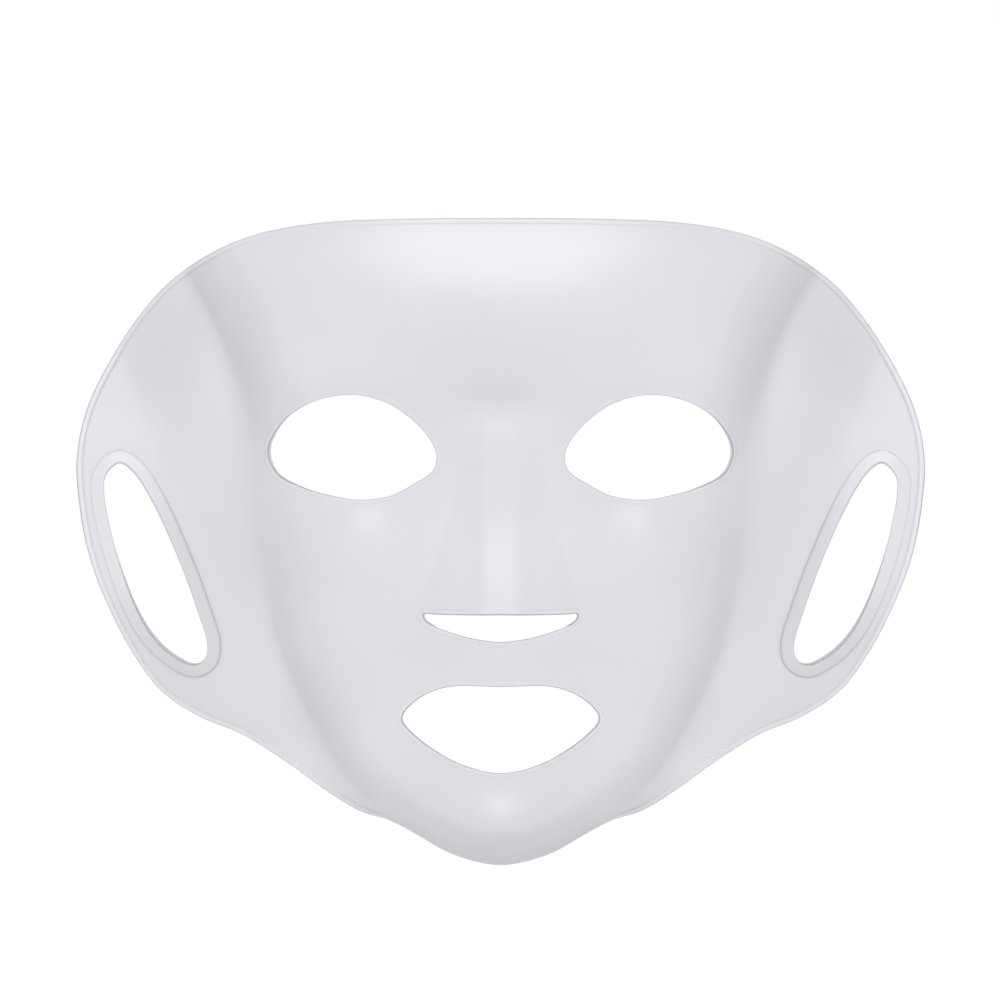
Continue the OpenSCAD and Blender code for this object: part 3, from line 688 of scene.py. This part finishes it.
def ramp(tree, factor, stops):
    """A colour ramp with stops (position, red, green, blue) in rising order."""
    made = node(tree, "ShaderNodeValToRGB", {"Fac": factor})
    elements = made.color_ramp.elements
    for element, stop in ((elements[0], stops[0]), (elements[1], stops[-1])):
        element.position = stop[0]
        element.color = (*stop[1:], 1)
    for stop in stops[1:-1]:
        elements.new(stop[0]).color = (*stop[1:], 1)
    return made.outputs["Color"]


def noise(tree, where, scale, detail, roughness):
    values = {"Vector": where, "Scale": scale, "Detail": detail, "Roughness": roughness}
    return node(tree, "ShaderNodeTexNoise", values).outputs["Fac"]


def multiply(tree, a, b):
    values = {"Factor": 1.0, "A": a, "B": b}
    made = node(tree, "ShaderNodeMix", values, data_type="RGBA", blend_type="MULTIPLY")
    return made.outputs["Result"]


def empty_tree(owner):
    owner.use_nodes = True
    owner.node_tree.nodes.clear()
    return owner.node_tree


def silicone(name, tone=0.86, through=0.30):
    """Milky silicone; through is the share of light that passes the sheet."""
    material = bpy.data.materials.new(name)
    t = empty_tree(material)
    output = node(t, "ShaderNodeOutputMaterial")
    where = node(t, "ShaderNodeTexCoord").outputs["Object"]
    # slow cloudiness of the moulded silicone
    cloud = noise(t, where, scale=26.0, detail=4.0, roughness=0.55)
    cloud_colour = ramp(t, cloud, (
        (0.3, tone * 0.978, tone * 0.970, tone * 1.008), (0.72, tone * 0.992, tone, tone * 1.036),
    ))
    # painted shade: the sheet is drawn darker where it is seen edge on, as if light came through more of
    # it
    facing = node(t, "ShaderNodeLayerWeight", {"Blend": 0.5}).outputs["Facing"]
    edge_on_painted_shade = ramp(t, facing, (
        (0.0, 1, 1, 1), (0.12, 0.978, 0.978, 0.982), (0.35, 0.965, 0.965, 0.969),
        (0.7, 0.91, 0.91, 0.914), (1.0, 0.72, 0.72, 0.745),
    ))
    cloud_and_painted_shade = multiply(t, cloud_colour, edge_on_painted_shade)
    # painted light and shade carried by the mesh, multiplied into the colour
    painted_tone_node = node(t, "ShaderNodeAttribute", attribute_name="painted_light_and_shade")
    colour = multiply(t, cloud_and_painted_shade, painted_tone_node.outputs["Color"])
    # fine grain of the mould, and a faint long ripple
    grain = noise(t, where, scale=1500.0, detail=2.0, roughness=0.5)
    ripple = noise(t, where, scale=90.0, detail=3.0, roughness=0.5)
    grain_bump = node(t, "ShaderNodeBump", {"Strength": 0.06, "Distance": 0.0001, "Height": grain})
    bump = node(t, "ShaderNodeBump", {
        "Strength": 0.05, "Distance": 0.0008, "Height": ripple,
        "Normal": grain_bump.outputs["Normal"],
    }).outputs["Normal"]
    rough = node(t, "ShaderNodeMapRange", {"To Min": 0.36, "To Max": 0.44, "Value": ripple})
    skin = node(t, "ShaderNodeBsdfPrincipled", {
        "IOR": 1.5, "Specular IOR Level": 0.95, "Base Color": colour,
        "Roughness": rough.outputs["Result"], "Normal": bump,
    })
    glow = node(t, "ShaderNodeBsdfTranslucent", {"Color": colour, "Normal": bump})
    mix = node(t, "ShaderNodeMixShader", {
        "Fac": through, 1: skin.outputs["BSDF"], 2: glow.outputs["BSDF"],
    })
    t.links.new(mix.outputs["Shader"], output.inputs["Surface"])
    return material


SHEET = silicone("milky_silicone_sheet")
EDGE = silicone("milky_silicone_edge")

# ------------------------------------------------------------------ the pieces
slot_of = {s["node"]: s["material_slot"] for s in frame["record"]["subparts"]}
bodies = frame["record"]["behaviour"]["bodies"]
body_of = {piece: body for body, pieces in bodies.items() for piece in pieces}


def depth_at(point):
    return float(depth(point[:1], point[1:])[0])


# Bending bands, left in place here without a body or a bend: bodies before and beyond the line,
# the line, the run along it, the offsets where the bend starts and ends, the depth
FLEXES = {
    "temple_flex": (
        "face", "{}_wing", TEMPLE, 70, (-TEMPLE_FLEX, TEMPLE_FLEX), depth_at(TEMPLE[0])),
    "strap_flex": (
        "{}_wing", "{}_strap", STRAP, 30, (-STRAP_FLEX, STRAP_FLEX), depth_at(STRAP[0])),
    "jaw_flex": ("face", "chin", JAW, 15, (0, -JAW_FLEX), 30),
}


def attach(obj, piece):
    words = piece.split("_")
    flex = FLEXES.get("_".join(words[-2:]))
    if flex is None:
        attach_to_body(obj, body_of[piece])
        return
    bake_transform(obj)


def build_piece(piece, corners):
    verts = np.unique(corners)
    local = np.full(len(P), -1)
    local[verts] = np.arange(len(verts))
    mesh = bpy.data.meshes.new(piece + "_skin")
    mesh.from_pydata((P[verts] * MM).tolist(), [], local[corners].tolist())
    mesh.update()
    mesh.polygons.foreach_set("use_smooth", [True] * len(mesh.polygons))
    mesh.normals_split_custom_set_from_vertices(vertex_normals[verts].tolist())
    shade = mesh.color_attributes.new("painted_light_and_shade", "FLOAT_COLOR", "POINT")
    shade.data.foreach_set("color", np.repeat(painted_light_and_shade[verts], 4).astype(np.float32))
    mesh.materials.append(EDGE if slot_of[piece] == "silicone_edge" else SHEET)
    obj = bpy.data.objects.new(piece + "_skin", mesh)
    bpy.context.scene.collection.objects.link(obj)
    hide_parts(piece)
    attach(obj, piece)


for piece in sorted(body_of):
    corners = faces[label == piece]
    if len(corners):  # a piece that holds no triangle is left out
        build_piece(piece, corners)

# ------------------------------------------------------------------ floor
FLOOR_R, FLOOR_SIDES, FLOOR_Z = 12.0, 96, -0.1275  # metres
WHITE = (1, 1, 1, 1)


def studio_paper():
    """Plain white to the camera ray mix's first input, lit paper to its second."""
    material = bpy.data.materials.new("studio_paper")
    t = empty_tree(material)
    output = node(t, "ShaderNodeOutputMaterial")
    mottle = node(t, "ShaderNodeTexNoise", {"Scale": 3.0, "Detail": 2.0}).outputs["Fac"]
    grey = ramp(t, mottle, ((0.0, 0.80, 0.80, 0.80), (1.0, 0.82, 0.82, 0.82)))
    paper = node(t, "ShaderNodeBsdfDiffuse", {"Color": grey})
    lift = node(t, "ShaderNodeEmission", {"Color": WHITE, "Strength": 0.6})
    lit_paper = node(t, "ShaderNodeAddShader", {
        0: paper.outputs["BSDF"], 1: lift.outputs["Emission"],
    })
    path = node(t, "ShaderNodeLightPath")
    plain = node(t, "ShaderNodeEmission", {"Color": WHITE, "Strength": 1.02})
    mix = node(t, "ShaderNodeMixShader", {
        "Fac": path.outputs["Is Camera Ray"],
        1: plain.outputs["Emission"], 2: lit_paper.outputs["Shader"],
    })
    t.links.new(mix.outputs["Shader"], output.inputs["Surface"])
    return material


floor_mesh = bpy.data.meshes.new("studio_floor")
turns = [2 * math.pi * i / FLOOR_SIDES for i in range(FLOOR_SIDES)]
ring = [(FLOOR_R * math.cos(turn), FLOOR_R * math.sin(turn), FLOOR_Z) for turn in turns]
floor_mesh.from_pydata(ring, [], [list(range(FLOOR_SIDES))])
floor = bpy.data.objects.new("studio_floor", floor_mesh)
bpy.context.scene.collection.objects.link(floor)
floor_mesh.materials.append(studio_paper())

# ------------------------------------------------------------------ world and lights
world = bpy.data.worlds.new("studio")
bpy.context.scene.world = world
t = empty_tree(world)
output = node(t, "ShaderNodeOutputWorld")
seen = node(t, "ShaderNodeBackground", {"Color": WHITE, "Strength": 1.0})
lit = node(t, "ShaderNodeBackground", {"Color": WHITE, "Strength": 0.54})
path = node(t, "ShaderNodeLightPath")
mix = node(t, "ShaderNodeMixShader", {
    "Fac": path.outputs["Is Camera Ray"],
    1: lit.outputs["Background"], 2: seen.outputs["Background"],
})
t.links.new(mix.outputs["Shader"], output.inputs["Surface"])


def softbox(name, place, target, size, power):
    light = bpy.data.lights.new(name, "AREA")
    light.shape = "RECTANGLE"
    light.size, light.size_y = size
    light.energy = power
    obj = bpy.data.objects.new(name, light)
    bpy.context.scene.collection.objects.link(obj)
    obj.location = place
    obj.rotation_mode = "QUATERNION"
    obj.rotation_quaternion = (Vector(target) - Vector(place)).to_track_quat("-Z", "Y")


softbox("key_top", place=(0, -1.0, 0.95), target=(0, 0, 0.02), size=(0.9, 0.3), power=7.0)
for name, x in (("fill_left", -1.2), ("fill_right", 1.2)):
    softbox(name, place=(x, -0.7, 0.15), target=(0, 0, 0), size=(0.6, 0.9), power=1.6)

# ------------------------------------------------------------------ camera
CAMERA_DISTANCE = 4.0
SUBJECT_Y = -0.02  # plane at which the view is VIEW_WIDTH wide
VIEW_WIDTH = 0.2995
cam = bpy.data.cameras.new("front_camera")
cam.sensor_width = 36
cam.lens = 36 * (CAMERA_DISTANCE + SUBJECT_Y) / VIEW_WIDTH
cam.clip_end = 100
camera = bpy.data.objects.new("front_camera", cam)
bpy.context.scene.collection.objects.link(camera)
camera.location = (-0.0002, -CAMERA_DISTANCE, -0.0148)
camera.rotation_euler = (math.radians(90), 0, 0)
bpy.context.scene.camera = camera
bpy.context.scene.view_settings.view_transform = "Standard"
